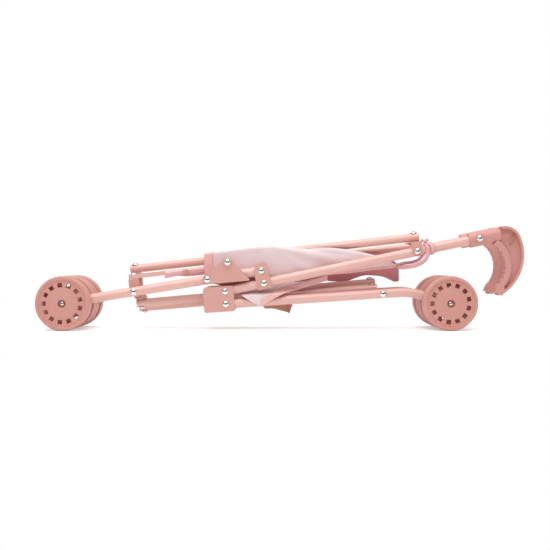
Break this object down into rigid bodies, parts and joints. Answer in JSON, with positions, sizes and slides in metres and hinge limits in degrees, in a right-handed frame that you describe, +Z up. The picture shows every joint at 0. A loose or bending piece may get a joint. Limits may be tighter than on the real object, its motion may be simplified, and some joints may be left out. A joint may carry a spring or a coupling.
{
  "type": "doll stroller",
  "caption": "Folding umbrella doll stroller with hooked handles, crossed braces, small wheels and a cloth seat, shown folded.",
  "frame": {"origin": "middle of the folded stroller's box, on the floor that its wheels stand on", "axes": "+X from the front wheels towards the handles, +Y from the near side frame to the far one, +Z up from the floor"},
  "size_m": [0.6267, 0.0992, 0.1343],
  "materials": {
    "pink_paint": "gloss",
    "pink_plastic": "matte",
    "rivet_steel": "polished",
    "pink_cloth": "woven",
    "binding_tape": "woven"
  },
  "bodies": {
    "rear_near": {"rear_leg_near": "pink_paint", "side_plate_near": "pink_paint", "rear_rivets_near": "rivet_steel", "rear_axle_near": "rivet_steel"},
    "handle_near": {"handle_tube_near": "pink_paint", "pivot_clip_near": "pink_paint", "grip_near": "pink_plastic", "grip_screw_near": "rivet_steel", "handle_rivets_near": "rivet_steel", "back_cloth": "pink_cloth", "seat_cloth": "pink_cloth", "tie_strap": "binding_tape"},
    "front_near": {"front_leg_near": "pink_paint", "knee_plate_near": "pink_paint", "front_rivets_near": "rivet_steel", "front_axle_near": "rivet_steel"},
    "upper_back_bracket_near": {"upper_back_bracket_near": "pink_paint", "upper_back_rivet_near": "rivet_steel"},
    "upper_front_bracket_near": {"upper_front_bracket_near": "pink_paint"},
    "lower_back_bracket_near": {"lower_back_bracket_near": "pink_paint", "lower_back_rivet_near": "rivet_steel"},
    "lower_front_bracket_near": {"lower_front_bracket_near": "pink_paint"},
    "rear_far": {"rear_leg_far": "pink_paint", "side_plate_far": "pink_paint", "rear_rivets_far": "rivet_steel", "rear_axle_far": "rivet_steel"},
    "handle_far": {"handle_tube_far": "pink_paint", "pivot_clip_far": "pink_paint", "grip_far": "pink_plastic", "grip_screw_far": "rivet_steel", "handle_rivets_far": "rivet_steel"},
    "front_far": {"front_leg_far": "pink_paint", "knee_plate_far": "pink_paint", "front_rivets_far": "rivet_steel", "front_axle_far": "rivet_steel"},
    "upper_back_bracket_far": {"upper_back_bracket_far": "pink_paint", "upper_back_rivet_far": "rivet_steel"},
    "upper_front_bracket_far": {"upper_front_bracket_far": "pink_paint"},
    "lower_back_bracket_far": {"lower_back_bracket_far": "pink_paint", "lower_back_rivet_far": "rivet_steel"},
    "lower_front_bracket_far": {"lower_front_bracket_far": "pink_paint"},
    "upper_brace_top": {"upper_brace_top": "pink_paint", "upper_top_end_rivet": "rivet_steel", "upper_cross_rivet": "rivet_steel"},
    "upper_brace_bottom": {"upper_brace_bottom": "pink_paint", "upper_bottom_end_rivet": "rivet_steel", "seat_belt": "binding_tape"},
    "lower_brace_top": {"lower_brace_top": "pink_paint", "lower_top_end_rivet": "rivet_steel", "lower_cross_rivet": "rivet_steel"},
    "lower_brace_bottom": {"lower_brace_bottom": "pink_paint", "lower_bottom_end_rivet": "rivet_steel"},
    "front_wheel_near_outer": {"front_wheel_near_outer": "pink_plastic"},
    "front_wheel_near_inner": {"front_wheel_near_inner": "pink_plastic"},
    "front_wheel_far_outer": {"front_wheel_far_outer": "pink_plastic"},
    "front_wheel_far_inner": {"front_wheel_far_inner": "pink_plastic"},
    "rear_wheel_near_outer": {"rear_wheel_near_outer": "pink_plastic"},
    "rear_wheel_near_inner": {"rear_wheel_near_inner": "pink_plastic"},
    "rear_wheel_far_outer": {"rear_wheel_far_outer": "pink_plastic"},
    "rear_wheel_far_inner": {"rear_wheel_far_inner": "pink_plastic"}
  },
  "joints": [
    {"name": "fold", "type": "hinge", "parent": "rear_near", "child": "handle_near", "pos_m": [-0.072, -0.025, 0.05], "axis": [0, -1, 0], "range_deg": [0, 95.89]},
    {"name": "front_fold", "type": "hinge", "parent": "handle_near", "child": "front_near", "pos_m": [-0.02516, -0.025, 0.0767], "axis": [0, 1, 0], "range_deg": [0, 32.58]},
    {"name": "rear_spread", "type": "slide", "parent": "rear_near", "child": "rear_far", "axis": [0, 1, 0], "range_m": [0, 0.075]},
    {"name": "handle_spread", "type": "slide", "parent": "handle_near", "child": "handle_far", "axis": [0, 1, 0], "range_m": [0, 0.075], "deforming": ["back_cloth", "tie_strap"]},
    {"name": "front_spread", "type": "slide", "parent": "front_near", "child": "front_far", "axis": [0, 1, 0], "range_m": [0, 0.075], "deforming": ["seat_cloth", "seat_belt"]},
    {"name": "upper_back_swivel_near", "type": "hinge", "parent": "handle_near", "child": "upper_back_bracket_near", "pos_m": [0.17638, -0.025, 0.10166], "axis": [0, 1, 0], "range_deg": [0, 14.75]},
    {"name": "lower_back_swivel_near", "type": "hinge", "parent": "rear_near", "child": "lower_back_bracket_near", "pos_m": [0.13246, -0.025, 0.04701], "axis": [0, -1, 0], "range_deg": [0, 22.28]},
    {"name": "upper_front_swivel_near", "type": "hinge", "parent": "front_near", "child": "upper_front_bracket_near", "pos_m": [-0.19033, -0.025, 0.0495], "axis": [0, -1, 0], "range_deg": [0, 17.83]},
    {"name": "lower_front_swivel_near", "type": "hinge", "parent": "front_near", "child": "lower_front_bracket_near", "pos_m": [-0.19033, -0.025, 0.0495], "axis": [0, 1, 0], "range_deg": [0, 41.03]},
    {"name": "upper_back_swivel_far", "type": "hinge", "parent": "handle_far", "child": "upper_back_bracket_far", "pos_m": [0.17638, 0.025, 0.10166], "axis": [0, 1, 0], "range_deg": [0, 14.75]},
    {"name": "lower_back_swivel_far", "type": "hinge", "parent": "rear_far", "child": "lower_back_bracket_far", "pos_m": [0.13246, 0.025, 0.04701], "axis": [0, -1, 0], "range_deg": [0, 22.28]},
    {"name": "upper_front_swivel_far", "type": "hinge", "parent": "front_far", "child": "upper_front_bracket_far", "pos_m": [-0.19033, 0.025, 0.0495], "axis": [0, -1, 0], "range_deg": [0, 17.83]},
    {"name": "lower_front_swivel_far", "type": "hinge", "parent": "front_far", "child": "lower_front_bracket_far", "pos_m": [-0.19033, 0.025, 0.0495], "axis": [0, 1, 0], "range_deg": [0, 41.03]},
    {"name": "upper_top_swing", "type": "hinge", "parent": "upper_back_bracket_near", "child": "upper_brace_top", "pos_m": [0.17431, -0.012, 0.12015], "axis": [0.1114, 0, -0.9938], "range_deg": [0, 11.77]},
    {"name": "upper_bottom_swing", "type": "hinge", "parent": "upper_back_bracket_far", "child": "upper_brace_bottom", "pos_m": [0.1757, 0.012, 0.10773], "axis": [-0.1114, 0, 0.9938], "range_deg": [0, 11.77]},
    {"name": "lower_top_swing", "type": "hinge", "parent": "lower_back_bracket_far", "child": "lower_brace_top", "pos_m": [0.11929, 0.012, 0.06013], "axis": [-0.0853, 0, 0.9964], "range_deg": [0, 14.5]},
    {"name": "lower_bottom_swing", "type": "hinge", "parent": "lower_back_bracket_near", "child": "lower_brace_bottom", "pos_m": [0.11986, -0.012, 0.05356], "axis": [0.0853, 0, -0.9964], "range_deg": [0, 14.5]},
    {"name": "front_wheel_near_outer_spin", "type": "hinge", "parent": "front_near", "child": "front_wheel_near_outer", "pos_m": [-0.27835, -0.025, 0.035], "axis": [0, 1, 0], "continuous": true},
    {"name": "front_wheel_near_inner_spin", "type": "hinge", "parent": "front_near", "child": "front_wheel_near_inner", "pos_m": [-0.27835, -0.025, 0.035], "axis": [0, 1, 0], "continuous": true},
    {"name": "front_wheel_far_outer_spin", "type": "hinge", "parent": "front_far", "child": "front_wheel_far_outer", "pos_m": [-0.27835, 0.025, 0.035], "axis": [0, 1, 0], "continuous": true},
    {"name": "front_wheel_far_inner_spin", "type": "hinge", "parent": "front_far", "child": "front_wheel_far_inner", "pos_m": [-0.27835, 0.025, 0.035], "axis": [0, 1, 0], "continuous": true},
    {"name": "rear_wheel_near_outer_spin", "type": "hinge", "parent": "rear_near", "child": "rear_wheel_near_outer", "pos_m": [0.21647, -0.025, 0.035], "axis": [0, 1, 0], "continuous": true},
    {"name": "rear_wheel_near_inner_spin", "type": "hinge", "parent": "rear_near", "child": "rear_wheel_near_inner", "pos_m": [0.21647, -0.025, 0.035], "axis": [0, 1, 0], "continuous": true},
    {"name": "rear_wheel_far_outer_spin", "type": "hinge", "parent": "rear_far", "child": "rear_wheel_far_outer", "pos_m": [0.21647, 0.025, 0.035], "axis": [0, 1, 0], "continuous": true},
    {"name": "rear_wheel_far_inner_spin", "type": "hinge", "parent": "rear_far", "child": "rear_wheel_far_inner", "pos_m": [0.21647, 0.025, 0.035], "axis": [0, 1, 0], "continuous": true}
  ],
  "couplings": [
    {"joint": "front_fold", "follows": "fold", "ratio": 0.33976},
    {"joint": "rear_spread", "follows": "fold", "m_per_rad": 0.044814},
    {"joint": "handle_spread", "follows": "fold", "m_per_rad": 0.044814},
    {"joint": "front_spread", "follows": "fold", "m_per_rad": 0.044814},
    {"joint": "upper_back_swivel_near", "follows": "fold", "ratio": 0.15382},
    {"joint": "lower_back_swivel_near", "follows": "fold", "ratio": 0.23235},
    {"joint": "upper_front_swivel_near", "follows": "fold", "ratio": 0.18594},
    {"joint": "lower_front_swivel_near", "follows": "fold", "ratio": 0.42789},
    {"joint": "upper_back_swivel_far", "follows": "fold", "ratio": 0.15382},
    {"joint": "lower_back_swivel_far", "follows": "fold", "ratio": 0.23235},
    {"joint": "upper_front_swivel_far", "follows": "fold", "ratio": 0.18594},
    {"joint": "lower_front_swivel_far", "follows": "fold", "ratio": 0.42789},
    {"joint": "upper_top_swing", "follows": "fold", "ratio": 0.12275},
    {"joint": "upper_bottom_swing", "follows": "fold", "ratio": 0.12275},
    {"joint": "lower_top_swing", "follows": "fold", "ratio": 0.15121},
    {"joint": "lower_bottom_swing", "follows": "fold", "ratio": 0.15121}
  ]
}
